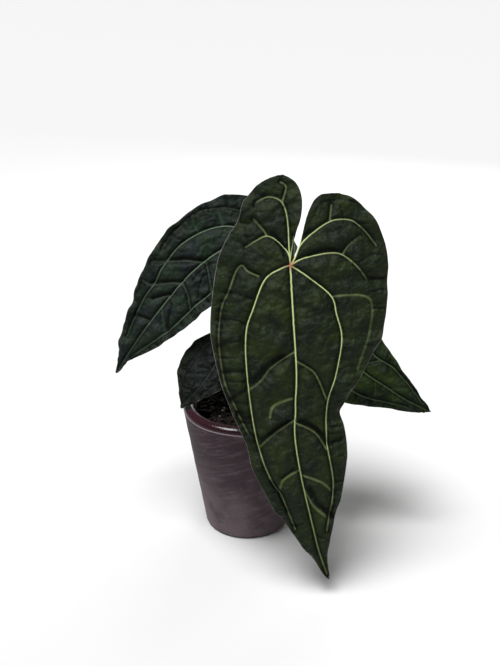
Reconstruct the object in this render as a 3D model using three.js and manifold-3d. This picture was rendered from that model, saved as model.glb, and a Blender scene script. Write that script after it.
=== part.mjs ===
import * as THREE from "three";
import { mergeVertices } from "three/addons/utils/BufferGeometryUtils.js";
import Module from "manifold-3d";

// Driving dimensions in millimetres. The origin is the middle of the pot's underside, Z is up.
const potHeight = 127;
const rimRadius = 60;
const baseRadius = 40;
const potWall = 6;
const lipWall = 11;
const lipRise = 5;
const potFloor = 8;
const drainRadius = 4.5;
const drainOffset = 21;
const mixTop = 114;
const mixLumps = 1.6;
const crownRadius = 9;
const crownFoot = 78;
const crownTop = 130;
const fitGap = 0.3;
const bladeThickness = 1.0;
const ribHeight = 1.4;

const wasm = await Module();
wasm.setup();

function solidOf(geometry) {
  const bare = new THREE.BufferGeometry().setAttribute("position", geometry.getAttribute("position"));
  if (geometry.index) bare.setIndex(geometry.index);
  const merged = mergeVertices(bare, 1e-3);
  return new wasm.Manifold(
    new wasm.Mesh({
      numProp: 3,
      vertProperties: new Float32Array(merged.attributes.position.array),
      triVerts: new Uint32Array(merged.index.array),
    }),
  );
}

function geometryOf(solid) {
  const mesh = solid.getMesh();
  return new THREE.BufferGeometry()
    .setAttribute("position", new THREE.BufferAttribute(mesh.vertProperties, 3))
    .setIndex(new THREE.BufferAttribute(mesh.triVerts, 1));
}

// A turned piece: the profile holds [radius, height] points from the axis round to the axis.
function turned(profile, segments) {
  const points = profile.map(([radius, height]) => new THREE.Vector2(radius, height));
  return new THREE.LatheGeometry(points, segments).rotateX(Math.PI / 2);
}

// The pot is a straight tapered cup whose wall thickens into a softly rounded lip.
function outerRadiusAt(height) {
  return baseRadius + ((rimRadius - baseRadius) * height) / (potHeight - lipRise);
}

function innerRadiusAt(height) {
  const lip = THREE.MathUtils.smoothstep(height, potHeight - 24, potHeight - 6);
  return outerRadiusAt(height) - THREE.MathUtils.lerp(potWall, lipWall, lip);
}

function makePot() {
  const lipCentre = [rimRadius - lipWall / 2, potHeight - lipRise];
  const lip = [...Array(9).keys()].map((step) => {
    const angle = (Math.PI * step) / 8;
    return [lipCentre[0] + (lipWall / 2) * Math.cos(angle), lipCentre[1] + lipRise * Math.sin(angle)];
  });
  const profile = [
    [0, 0],
    [baseRadius - 4, 0],
    [baseRadius - 1.2, 1],
    [outerRadiusAt(4), 4],
    [outerRadiusAt(60), 60],
    ...lip,
    [innerRadiusAt(112), 112],
    [innerRadiusAt(100), 100],
    [innerRadiusAt(potFloor + 6), potFloor + 6],
    [innerRadiusAt(potFloor) - 5, potFloor],
    [0, potFloor],
  ];
  let pot = solidOf(turned(profile, 48));
  for (const side of [-1, 1]) {
    const drain = new THREE.CylinderGeometry(drainRadius, drainRadius, potFloor * 3, 20).rotateX(Math.PI / 2);
    pot = pot.subtract(solidOf(drain.translate(side * drainOffset, 0, 0)));
  }
  return geometryOf(pot);
}

// The mix follows the pot's inside at a small gap, and has a plain hole for the crown.
function makeMix() {
  const hole = crownRadius + fitGap;
  const profile = [
    [0, potFloor + fitGap],
    [innerRadiusAt(potFloor) - 5.5, potFloor + fitGap],
    [innerRadiusAt(potFloor + 6) - fitGap, potFloor + 6],
    [innerRadiusAt(100) - fitGap, 100],
    [innerRadiusAt(mixTop - 3) - fitGap, mixTop - 3],
    [innerRadiusAt(mixTop) - 3, mixTop],
    [42, mixTop],
    [35, mixTop],
    [28, mixTop],
    [20, mixTop],
    [hole + 1, mixTop],
    [hole, mixTop - 1],
    [hole, crownFoot - fitGap],
    [0, crownFoot - fitGap],
  ];
  const mix = turned(profile, 36);
  const at = mix.getAttribute("position");
  for (let i = 0; i < at.count; i++) {
    if (at.getZ(i) < mixTop - 0.1) continue;
    const x = at.getX(i);
    const y = at.getY(i);
    const lumps = Math.sin(x * 0.31 + 1) * Math.cos(y * 0.27) + 0.7 * Math.sin(x * 0.17 - y * 0.4);
    at.setZ(i, mixTop + mixLumps * lumps + 2.5 * (1 - Math.hypot(x, y) / 50));
  }
  return mix;
}

// The crown is a short thick stem with the ring scars of old leaves.
function makeCrown(grow) {
  const profile = [[0, crownFoot - grow]];
  for (let height = crownFoot; height <= crownTop - 8; height += 4) {
    const scar = height > mixTop + 2 && (height / 4) % 2 < 1 ? -0.7 : 0;
    profile.push([crownRadius + scar + grow, height === crownFoot ? crownFoot - grow : height]);
  }
  profile.push([crownRadius - 1 + grow, crownTop - 4 + grow], [crownRadius - 4 + grow, crownTop - 1 + grow]);
  profile.push([0, crownTop + grow]);
  return turned(profile, 20);
}

// A closed round stalk along a curve, with a radius that follows the way along it.
function stalk(points, radii, rings, sides) {
  const curve = new THREE.CatmullRomCurve3(points.map((point) => new THREE.Vector3(...point)));
  const frames = curve.computeFrenetFrames(rings, false);
  const positions = [];
  const triangles = [];
  for (let ring = 0; ring <= rings; ring++) {
    const centre = curve.getPointAt(ring / rings);
    const place = (ring / rings) * (radii.length - 1);
    const before = Math.min(Math.floor(place), radii.length - 2);
    const radius = THREE.MathUtils.lerp(radii[before], radii[before + 1], place - before);
    for (let side = 0; side < sides; side++) {
      const angle = (2 * Math.PI * side) / sides;
      const spot = centre
        .clone()
        .addScaledVector(frames.normals[ring], radius * Math.cos(angle))
        .addScaledVector(frames.binormals[ring], radius * Math.sin(angle));
      positions.push(...spot);
      if (ring === rings) continue;
      const next = (side + 1) % sides;
      const [a, b, c, d] = [side, next, next + sides, side + sides].map((i) => ring * sides + i);
      triangles.push(a, b, c, a, c, d);
    }
  }
  const first = positions.length / 3;
  positions.push(...curve.getPointAt(0), ...curve.getPointAt(1));
  for (let side = 0; side < sides; side++) {
    const next = (side + 1) % sides;
    triangles.push(first, next, side, first + 1, rings * sides + side, rings * sides + next);
  }
  return new THREE.BufferGeometry()
    .setAttribute("position", new THREE.Float32BufferAttribute(positions, 3))
    .setIndex(triangles);
}

// Flat leaf points are [u, x]: u runs down the midrib from the petiole and is negative in the
// lobes, x runs across the blade.
const frontVeins = [
  [[0, 0], [79, 3], [118, 0], [148, -3], [214, -1], [245, -1], [269, 0]],
  [[0, 0], [-10, -1], [-37, -3], [-51, -7], [-56, -13], [-57, -21], [-52, -30]],
  [[-53, -8], [-66, -5], [-70, -10]],
  [[0, 0], [-10, -2], [-20, -11], [-24, -20], [-20, -29], [-15, -37]],
  [[-24, -20], [-28, -22], [-38, -31]],
  [[0, 0], [3, -8], [12, -21], [36, -31], [54, -37], [85, -38], [141, -35], [176, -28], [193, -21], [222, -16]],
  [[9, -26], [5, -35], [0, -40], [5, -45], [21, -51], [34, -57], [57, -60], [80, -59], [100, -55], [137, -41]],
  [[0, 0], [-17, 8], [-30, 21], [-39, 35], [-40, 50], [-31, 63], [-20, 72]],
  [[-39, 32], [-52, 33]],
  [[0, 0], [-6, 11], [-11, 32], [-10, 43], [-1, 55], [10, 64]],
  [[-10, 43], [-18, 48], [-27, 58]],
  [[0, 0], [12, 18], [26, 34], [41, 38], [62, 42], [92, 36], [117, 27], [149, 23], [190, 23], [229, 10]],
  [[26, 34], [25, 45], [25, 60], [32, 68], [56, 66], [90, 54]],
  [[71, 3], [83, -17], [94, -27], [100, -36]],
  [[79, 3], [88, 16], [97, 21], [113, 26]],
  [[110, -2], [111, -7], [115, -18], [124, -22]],
  [[128, -1], [139, -21], [148, -33]],
  [[131, -1], [141, 14], [157, 22]],
  [[171, -2], [177, -17], [188, -23]],
  [[176, -1], [185, 14], [195, 21]],
  [[186, -2], [198, 1], [207, 5], [220, 15]],
];
const leftVeins = [
  [[0, 0], [47, 1], [100, 4], [140, 3], [176, 0]],
  [[0, 0], [-7, -1], [-25, -4], [-34, -8], [-37, -15], [-30, -24]],
  [[0, 0], [-7, -3], [-13, -10], [-12, -20], [-6, -30]],
  [[0, 0], [2, -8], [9, -16], [25, -22], [51, -25], [75, -21], [92, -16], [111, -14], [145, -8]],
  [[-12, -20], [-2, -28], [13, -37], [29, -41], [51, -38], [66, -34]],
  [[0, 0], [-11, 5], [-22, 12], [-28, 22], [-22, 32]],
  [[0, 0], [-4, 7], [-7, 19], [-4, 28], [7, 35]],
  [[0, 0], [8, 11], [17, 20], [35, 26], [58, 28], [82, 27], [109, 25], [132, 18], [160, 6]],
  [[15, -19], [14, -28], [13, -37]],
  [[36, -24], [35, -33], [33, -40]],
  [[22, 1], [28, 12], [34, 26]],
  [[47, 1], [58, -10], [69, -20], [80, -31]],
  [[44, 1], [50, 14], [58, 28]],
  [[75, 3], [81, -4], [94, -16], [97, -26]],
  [[74, 3], [78, 15], [87, 27]],
  [[90, 4], [95, -1], [103, -6], [108, -14]],
  [[103, 4], [109, 10], [121, 22]],
  [[121, 3], [123, -3], [126, -11]],
];
const rightVeins = [
  [[0, 0], [35, -8], [70, -12], [93, -11], [113, -9], [125, -6], [138, -2]],
  [[0, 0], [-8, -3], [-20, -7], [-28, -13], [-25, -23]],
  [[0, 0], [-5, -7], [-8, -16], [-4, -28], [6, -38]],
  [[0, 0], [4, -10], [14, -22], [32, -30], [50, -33], [79, -32], [100, -24], [122, -13]],
  [[0, 0], [-9, 5], [-19, 11], [-27, 18], [-20, 25]],
  [[0, 0], [-3, 7], [-6, 17], [6, 29]],
  [[0, 0], [6, 9], [18, 18], [35, 18], [52, 12], [71, 7], [90, 8], [118, 3], [132, 0]],
  [[28, -7], [38, 6], [50, 12]],
  [[26, -6], [33, -18], [42, -32]],
  [[52, -10], [60, -20], [68, -33]],
  [[60, -11], [68, -2], [76, 7]],
  [[82, -12], [88, -20], [93, -28]],
  [[102, -10], [107, -16], [111, -18]],
  [[98, -11], [108, -3], [114, 3]],
];
const smallVeins = [
  [[0, 0], [20, 5], [44, 7], [60, 4], [74, 0]],
  [[0, 0], [-5, -3], [-12, -8], [-8, -14]],
  [[0, 0], [4, -7], [14, -13], [30, -14], [52, -13], [66, -7]],
  [[0, 0], [-5, 4], [-11, 10], [-5, 17]],
  [[0, 0], [5, 8], [16, 15], [30, 18], [44, 17], [60, 11]],
  [[18, 5], [24, -4], [30, -14]],
  [[38, 7], [43, -3], [48, -13]],
  [[24, 6], [29, 12], [32, 18]],
  [[44, 7], [49, 11], [52, 15]],
];

// Each spine is a cubic curve that starts above the lobes and follows the midrib to the tip. The
// lobe length is the part of it above the petiole. Each half is edged by its sinus and its margin.
const leaves = {
  front: {
    spine: [[38, -4, 356], [37.5, -44, 302], [24, -107, 158], [70, -119, 15]],
    across: [1, 0, 0],
    lobe: 93,
    arch: 0.0022,
    rows: [11, 38],
    columns: 12,
    wave: [2.4, 37],
    fold: [127, 7, 12],
    quilt: [2.2, 6],
    veins: frontVeins,
    midrib: [[0, 0], [79, 3], [118, 0], [148, -3], [214, -1], [245, -1], [274, 0]],
    left: {
      sinus: [[-76, -8], [-69, 3], [-57, 8], [-42, 8], [-23, 3], [-8, 0], [0, 0]],
      margin: [
        [-76, -8], [-70, -25], [-55, -39], [-38, -44], [-24, -52], [-5, -60], [19, -64], [51, -67],
        [81, -63], [110, -56], [142, -45], [168, -41], [198, -31], [227, -18], [252, -8], [274, 0],
      ],
    },
    right: {
      sinus: [[-62, 34], [-59, 23], [-50, 16], [-33, 11], [-19, 8], [-7, 4], [0, 0]],
      margin: [
        [-62, 34], [-60, 50], [-46, 68], [-19, 81], [22, 82], [57, 78], [75, 69], [91, 60], [107, 49],
        [118, 42], [127, 37], [139, 39], [160, 39], [190, 32], [226, 16], [250, 6], [274, 0],
      ],
    },
  },
  left: {
    spine: [[60, 66, 262], [4, 42, 296], [-76, 20, 250], [-122, 10, 150]],
    across: [0.55, -0.45, -0.7],
    lobe: 66,
    arch: -0.0012,
    rows: [8, 27],
    columns: 9,
    wave: [2, 26],
    fold: [60, 0, 10],
    quilt: [1.8, 4.5],
    veins: leftVeins,
    midrib: [[0, 0], [47, 1], [100, 4], [140, 3], [181, 0]],
    left: {
      sinus: [[-48, -20], [-44, -10], [-28, -5], [-10, -2], [0, 0]],
      margin: [
        [-48, -20], [-40, -31], [-20, -38], [8, -46], [39, -45], [60, -42], [95, -31], [120, -21],
        [141, -16], [159, -10], [181, 0],
      ],
    },
    right: {
      sinus: [[-48, 14], [-42, 5], [-28, 3], [-10, 2.4], [0, 0]],
      margin: [
        [-48, 14], [-40, 28], [-18, 37], [8, 41], [40, 40], [75, 37], [100, 35], [118, 30], [135, 24],
        [151, 15], [165, 5], [181, 0],
      ],
    },
  },
  right: {
    spine: [[14, 66, 190], [60, 34, 190], [120, 16, 165], [172, 0, 115]],
    across: [0.5, 0.5, 0.7],
    lobe: 50,
    arch: 0,
    rows: [6, 18],
    columns: 7,
    wave: [1.6, 26],
    fold: [60, 0, 10],
    quilt: [1.5, 4],
    veins: rightVeins,
    midrib: [[0, 0], [35, -8], [70, -12], [100, -10], [126, -6], [143, 0]],
    left: {
      sinus: [[-38, -14], [-32, -6], [-20, -4], [-8, -2.4], [0, 0]],
      margin: [
        [-38, -14], [-28, -30], [-4, -43], [25, -50], [50, -50], [71, -46], [90, -37], [110, -25],
        [127, -15], [137, -6], [143, 0],
      ],
    },
    right: {
      sinus: [[-38, 16], [-34, 7], [-20, 4], [-8, 1.5], [0, 0]],
      margin: [
        [-38, 16], [-30, 27], [-8, 34], [20, 35], [45, 32], [74, 21], [94, 13], [115, 7], [135, 2],
        [143, 0],
      ],
    },
  },
  small: {
    spine: [[2, 26, 188], [-18, 14, 186], [-44, -4, 160], [-61, -20, 128]],
    across: [0.6, -0.6, -0.5],
    lobe: 24,
    arch: 0,
    rows: [5, 14],
    columns: 6,
    wave: [1, 18],
    fold: [60, 0, 10],
    quilt: [1, 3],
    veins: smallVeins,
    midrib: [[0, 0], [20, 5], [40, 6], [60, 4], [76, 0]],
    left: {
      sinus: [[-20, -9], [-17, -4], [-10, -2.6], [-4, -1.4], [0, 0]],
      margin: [[-20, -9], [-12, -16], [4, -19], [21, -25], [35, -25], [49, -21], [63, -10], [76, 0]],
    },
    right: {
      sinus: [[-20, 9], [-17, 4], [-10, 2.6], [-4, 1.4], [0, 0]],
      margin: [[-20, 9], [-12, 19], [6, 27], [25, 29], [41, 26], [55, 18], [68, 8], [76, 0]],
    },
  },
};

function splineThrough(points) {
  return new THREE.SplineCurve(points.map(([u, x]) => new THREE.Vector2(u, x)));
}

function distanceToLines(lines, u, x) {
  let nearest = Infinity;
  for (const line of lines)
    for (let i = 1; i < line.length; i++) {
      const [startU, startX] = line[i - 1];
      const [stepU, stepX] = [line[i][0] - startU, line[i][1] - startX];
      const reach = ((u - startU) * stepU + (x - startX) * stepX) / (stepU * stepU + stepX * stepX);
      const way = THREE.MathUtils.clamp(reach, 0, 1);
      nearest = Math.min(nearest, Math.hypot(u - startU - way * stepU, x - startX - way * stepX));
    }
  return nearest;
}

// The blade's frame at a distance down its midrib: the point, the way across and the way it faces.
function frameAt(leaf, u) {
  const curve = new THREE.CubicBezierCurve3(...leaf.spine.map((point) => new THREE.Vector3(...point)));
  const way = THREE.MathUtils.clamp((u + leaf.lobe) / curve.getLength(), 0, 1);
  const along = curve.getTangentAt(way);
  const across = new THREE.Vector3(...leaf.across);
  across.addScaledVector(along, -across.dot(along)).normalize();
  return { centre: curve.getPointAt(way), across, face: along.clone().cross(across) };
}

// How far the upper face stands off the flat blade: it is quilted between the veins, arched across
// and waved along the margin. Edge runs from 0 at the midrib to 1 at the margin.
function reliefAt(leaf, u, x, edge, marginWay) {
  const [quiltHeight, veinReach] = leaf.quilt;
  const away = distanceToLines(leaf.veins, u, x) / veinReach;
  const quilt = quiltHeight * (1 - Math.exp(-away * away)) * (1 - edge ** 4);
  const [waveHeight, waveLength] = leaf.wave;
  const turn = (2 * Math.PI * marginWay) / waveLength;
  const wave = waveHeight * edge ** 3 * (0.75 * Math.sin(turn) + 0.45 * Math.sin(1.7 * turn + 1));
  const [foldPlace, foldDepth, foldWidth] = leaf.fold;
  const fold = x > 0 ? foldDepth * edge ** 2 * Math.exp(-(((u - foldPlace) / foldWidth) ** 2)) : 0;
  return quilt + wave - fold - leaf.arch * x * x;
}

// A blade is one skin laid over both halves, which share the midrib, and its copy underneath. The
// rib stands out of the underside.
function makeBlade(leaf) {
  const [lobeRows, bladeRows] = leaf.rows;
  const rows = lobeRows + bladeRows;
  const midrib = splineThrough(leaf.midrib);
  const spots = [];
  const numberOf = new Map();
  const triangles = [];
  for (const side of ["left", "right"]) {
    const sinus = splineThrough(leaf[side].sinus);
    const margin = splineThrough(leaf[side].margin);
    const numbers = [];
    for (let row = 0; row <= rows; row++) {
      const inner =
        row < lobeRows ? sinus.getPointAt(row / lobeRows) : midrib.getPointAt((row - lobeRows) / bladeRows);
      const outer = margin.getPointAt(row / rows);
      for (let column = 0; column <= leaf.columns; column++) {
        const edge = column / leaf.columns;
        const flat = inner.clone().lerp(outer, edge);
        const key = flat.x.toFixed(3) + " " + flat.y.toFixed(3);
        if (!numberOf.has(key)) {
          numberOf.set(key, spots.length);
          spots.push([flat.x, flat.y, edge, (row / rows) * margin.getLength()]);
        }
        numbers.push(numberOf.get(key));
      }
    }
    for (let row = 0; row < rows; row++)
      for (let column = 0; column < leaf.columns; column++) {
        const start = row * (leaf.columns + 1) + column;
        const [a, b, c, d] = [0, leaf.columns + 1, leaf.columns + 2, 1].map((step) => numbers[start + step]);
        for (const [i, j, k] of [[a, b, c], [a, c, d]])
          if (i !== j && j !== k && k !== i) triangles.push(...(side === "right" ? [i, j, k] : [i, k, j]));
      }
  }

  const upper = spots.map(([u, x, edge, marginWay]) => {
    const { centre, across, face } = frameAt(leaf, u);
    return centre.addScaledVector(across, x).addScaledVector(face, reliefAt(leaf, u, x, edge, marginWay));
  });
  const skin = new THREE.BufferGeometry().setFromPoints(upper).setIndex(triangles);
  skin.computeVertexNormals();
  const facing = skin.getAttribute("normal");
  const length = leaf.midrib.at(-1)[0];
  const lower = upper.map((point, i) => {
    const [u, x] = spots[i];
    const nearMidrib = distanceToLines([leaf.midrib], u, x) / 3;
    const rib = ribHeight * Math.exp(-nearMidrib * nearMidrib) * (1 - Math.max(u, 0) / length);
    return point.clone().addScaledVector(new THREE.Vector3().fromBufferAttribute(facing, i), -bladeThickness - rib);
  });

  const edgeUses = new Map();
  const all = [...triangles];
  for (let i = 0; i < triangles.length; i += 3) {
    const corners = triangles.slice(i, i + 3);
    all.push(...corners.map((corner) => corner + spots.length).reverse());
    corners.forEach((from, place) => {
      const to = corners[(place + 1) % 3];
      edgeUses.set(from + " " + to, [from, to]);
    });
  }
  for (const [from, to] of edgeUses.values())
    if (!edgeUses.has(to + " " + from))
      all.push(to, from, from + spots.length, to, from + spots.length, to + spots.length);
  return new THREE.BufferGeometry().setFromPoints([...upper, ...lower]).setIndex(all);
}

// A petiole leaves the crown, and its last bend meets the underside of its blade square on.
const petioles = {
  front: { foot: [3, -4, 121], way: [[10, -9, 170], [21, -14, 225], [31, -19, 270], [36, -27, 289]], radius: 2.9 },
  left: { foot: [0, 6, 121], way: [[-2, 22, 165], [-1, 37, 208], [3, 52, 242]], radius: 2.6 },
  right: { foot: [5, 5, 121], way: [[18, 20, 145], [34, 38, 160]], radius: 2.2 },
  small: { foot: [-5, -1, 121], way: [[-11, 6, 144], [-17, 15, 160]], radius: 1.6 },
};

function makePetiole(name) {
  const { foot, way, radius } = petioles[name];
  const { centre, face } = frameAt(leaves[name], 0);
  const under = bladeThickness + ribHeight + fitGap;
  const end = centre.clone().addScaledVector(face, -under);
  const bend = centre.clone().addScaledVector(face, -under - 3 * radius);
  const radii = [1.7, 1.25, 1.05, 1, 0.95, 0.95, 1, 1.3, 1.2].map((share) => share * radius);
  const tube = stalk([[0, 0, 112], foot, ...way, [...bend], [...end]], radii, 26, 10);
  return geometryOf(solidOf(tube).subtract(solidOf(makeCrown(fitGap))));
}

const group = new THREE.Group();

function addPiece(name, geometry, color, roughness) {
  const material = new THREE.MeshStandardMaterial({ color, roughness, metalness: 0 });
  const mesh = new THREE.Mesh(geometry, material);
  mesh.name = name;
  group.add(mesh);
}

addPiece("pot", makePot(), 0x554a50, 0.7);
addPiece("potting_mix", makeMix(), 0x2e221b, 0.95);
addPiece("crown", makeCrown(0), 0x4d5a34, 0.6);
for (const name of Object.keys(leaves)) {
  addPiece("petiole_" + name, makePetiole(name), 0x4f6333, 0.5);
  addPiece("blade_" + name, makeBlade(leaves[name]), 0x26331f, 0.6);
}

export default group;
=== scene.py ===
import math
import random

import bpy
import numpy as np
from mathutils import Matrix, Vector, noise
from mathutils.bvhtree import BVHTree
from mathutils.geometry import barycentric_transform
from mathutils.kdtree import KDTree


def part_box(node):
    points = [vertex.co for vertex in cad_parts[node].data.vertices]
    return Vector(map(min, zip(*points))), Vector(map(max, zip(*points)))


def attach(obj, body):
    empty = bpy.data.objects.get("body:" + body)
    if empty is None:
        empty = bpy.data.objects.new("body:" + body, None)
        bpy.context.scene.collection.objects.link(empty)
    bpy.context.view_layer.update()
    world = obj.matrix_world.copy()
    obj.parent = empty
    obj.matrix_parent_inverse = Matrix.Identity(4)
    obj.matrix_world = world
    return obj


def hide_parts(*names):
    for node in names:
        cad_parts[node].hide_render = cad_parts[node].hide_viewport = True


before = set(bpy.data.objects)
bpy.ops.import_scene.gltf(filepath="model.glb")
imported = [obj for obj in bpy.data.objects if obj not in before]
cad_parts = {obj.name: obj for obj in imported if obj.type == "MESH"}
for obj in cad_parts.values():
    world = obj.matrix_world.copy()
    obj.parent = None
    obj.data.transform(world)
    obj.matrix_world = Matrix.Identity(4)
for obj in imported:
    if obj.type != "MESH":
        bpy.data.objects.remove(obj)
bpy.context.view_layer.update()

bpy.ops.object.select_all(action="DESELECT")


# The pot is a thrown stoneware cup, dipped in a thin plum-brown slip that was wiped with a coarse
# sponge. It is darker plum towards the lip and greyer towards the foot. Its thick soft lip is glazed
# down to a pale line, and two drain holes go through the floor beside the middle.
MM = 0.001
pot_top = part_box("pot")[1]
RIM_RADIUS = pot_top.x
POT_HEIGHT = pot_top.z
FOOT_RADIUS = 40 * MM
FOOT_ROUND = 4 * MM
POT_WALL = 6 * MM
LIP_WALL = 11 * MM
LIP_RISE = 5 * MM
POT_FLOOR = 8 * MM
DRAIN_RADIUS = 4.5 * MM
DRAIN_OFFSET = 21 * MM
POT_STEPS = 160
THROWN_RING = 0.16 * MM
UNEVEN_WALL = 0.3 * MM
GLAZE_WOBBLE = 1.2 * MM


def pot_outer_radius(height):
    return FOOT_RADIUS + (RIM_RADIUS - FOOT_RADIUS) * height / (POT_HEIGHT - LIP_RISE)


def pot_inner_radius(height):
    lip = min(max((height - POT_HEIGHT + 24 * MM) / (18 * MM), 0), 1)
    lip = lip * lip * (3 - 2 * lip)
    return pot_outer_radius(height) - POT_WALL - (LIP_WALL - POT_WALL) * lip


def turned(name, profile, steps):
    """A piece spun round Z from (radius, height) points, which start and end on the axis."""
    mesh = bpy.data.meshes.new(name)
    points = [(radius, 0, height) for radius, height in profile]
    mesh.from_pydata(points, [(i, i + 1) for i in range(len(points) - 1)], [])
    piece = bpy.data.objects.new(name, mesh)
    bpy.context.collection.objects.link(piece)
    bpy.ops.object.select_all(action="DESELECT")
    piece.select_set(True)
    bpy.context.view_layer.objects.active = piece
    bpy.ops.object.mode_set(mode="EDIT")
    bpy.ops.mesh.select_all(action="SELECT")
    bpy.ops.mesh.spin(steps=steps, angle=2 * math.pi, center=(0, 0, 0), axis=(0, 0, 1))
    bpy.ops.mesh.select_all(action="SELECT")
    bpy.ops.mesh.remove_doubles(threshold=0.01 * MM)
    bpy.ops.mesh.normals_make_consistent(inside=False)
    bpy.ops.object.mode_set(mode="OBJECT")
    bpy.ops.object.shade_smooth_by_angle(angle=math.radians(50))
    return piece


def dress(piece, material):
    """Gives a piece its material, its body and the slot that it takes its finish from."""
    piece.data.materials.clear()
    piece.data.materials.append(material)
    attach(piece, "root")


def linear(hex_colour):
    """An sRGB hex colour as the linear RGBA that a shader takes."""
    parts = [int(hex_colour[i:i + 2], 16) / 255 for i in (1, 3, 5)]
    rgb = [part / 12.92 if part <= 0.04045 else ((part + 0.055) / 1.055) ** 2.4 for part in parts]
    return rgb + [1]


def new_material(name):
    """A material and its Principled shader."""
    material = bpy.data.materials.new(name)
    material.use_nodes = True
    return material, material.node_tree.nodes["Principled BSDF"]


def add_node(material, kind, settings=None, inputs=None):
    """One node with its settings, and its inputs set to values or linked from nodes' outputs."""
    node = material.node_tree.nodes.new("ShaderNode" + kind)
    for name, value in (settings or {}).items():
        setattr(node, name, value)
    for name, value in (inputs or {}).items():
        if isinstance(value, bpy.types.NodeSocket):
            material.node_tree.links.new(value, node.inputs[name])
        else:
            node.inputs[name].default_value = value
    return node


def plug(material, output, socket):
    material.node_tree.links.new(output, socket)


def blended(material, factor, first, second):
    """A colour between two, each a hex colour or a node's output."""
    first, second = [linear(c) if isinstance(c, str) else c for c in (first, second)]
    mixed = {0: factor, 6: first, 7: second}
    return add_node(material, "Mix", {"data_type": "RGBA"}, mixed).outputs[2]


def banded(material, value, low, high):
    """0 below low and 1 above high, with a soft step between."""
    settings = {"interpolation_type": "SMOOTHSTEP"}
    inputs = {"Value": value, "From Min": low, "From Max": high}
    return add_node(material, "MapRange", settings, inputs).outputs[0]


def pot_material():
    # Wiped slip over stoneware: matte, streaked on a slant by the sponge, with specks of pale grit.
    # Only the glazed lip gives a sharp highlight.
    material, surface = new_material("slip_dipped_stoneware")
    place = add_node(material, "TexCoord").outputs["Object"]
    height = add_node(material, "SeparateXYZ", inputs={0: place}).outputs["Z"]
    slant = {"Vector": place, "Rotation": (0, math.radians(-24), 0), "Scale": (8, 8, 1)}
    wiped = add_node(material, "Mapping", {"vector_type": "TEXTURE"}, slant).outputs[0]
    streak_size = {"Vector": wiped, "Scale": 1 / (4 * MM), "Detail": 8, "Roughness": 0.72}
    streaks = add_node(material, "TexNoise", inputs=streak_size).outputs[0]
    cloud_size = {"Vector": place, "Scale": 1 / (34 * MM), "Detail": 5, "Roughness": 0.6}
    clouds = add_node(material, "TexNoise", inputs=cloud_size).outputs[0]
    grit_size = {"Vector": place, "Scale": 1 / (1.3 * MM), "Detail": 3}
    grit = add_node(material, "TexNoise", inputs=grit_size).outputs[0]
    uneven_height = {0: clouds, 1: 90 * MM, 2: height}
    uneven = add_node(material, "Math", {"operation": "MULTIPLY_ADD"}, uneven_height).outputs[0]
    # Darker plum towards the lip and greyer towards the foot, along a cloudy wavering edge.
    greyer_towards_foot = banded(material, uneven, 145 * MM, 35 * MM)
    slip = blended(material, greyer_towards_foot, "#2a1520", "#605358")
    wiped_slip = blended(material, 0.27, slip, "#7c6d75")
    slip = blended(material, banded(material, streaks, 0.46, 0.68), slip, wiped_slip)
    thick_slip = blended(material, 0.5, slip, "#251c22")
    slip = blended(material, banded(material, clouds, 0.45, 0.66), slip, thick_slip)
    slip = blended(material, banded(material, grit, 0.70, 0.78), slip, "#a1989c")
    glaze_edge = {0: streaks, 1: GLAZE_WOBBLE, 2: height}
    lip_edge = add_node(material, "Math", {"operation": "MULTIPLY_ADD"}, glaze_edge).outputs[0]
    glazed = banded(material, lip_edge, POT_HEIGHT - 5.2 * MM, POT_HEIGHT - 4.4 * MM)
    # The pale line just under the glaze is a worn edge, and partly a painted highlight where the
    # outer arris catches the light.
    line_low = banded(material, lip_edge, POT_HEIGHT - 6.4 * MM, POT_HEIGHT - 5.6 * MM)
    line = add_node(material, "Math", {"operation": "SUBTRACT"}, {0: line_low, 1: glazed}).outputs[0]
    slip = blended(material, line, slip, "#8f8188")
    glaze = blended(material, clouds, "#1a080d", "#2e141c")
    plug(material, blended(material, glazed, slip, glaze), surface.inputs["Base Color"])
    matte_range = {"Value": streaks, "To Min": 0.55, "To Max": 0.8}
    matte = add_node(material, "MapRange", inputs=matte_range).outputs[0]
    gloss = add_node(material, "Mix", inputs={0: glazed, 2: matte, 3: 0.16}).outputs[0]
    plug(material, gloss, surface.inputs["Roughness"])
    surface.inputs["Specular IOR Level"].default_value = 0.3
    relief = add_node(material, "Math", {"operation": "MULTIPLY_ADD"}, {0: streaks, 1: 0.8, 2: grit})
    bump = {"Height": relief.outputs[0], "Distance": 0.25 * MM, "Strength": 0.5}
    plug(material, add_node(material, "Bump", inputs=bump).outputs[0], surface.inputs["Normal"])
    return material


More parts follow.
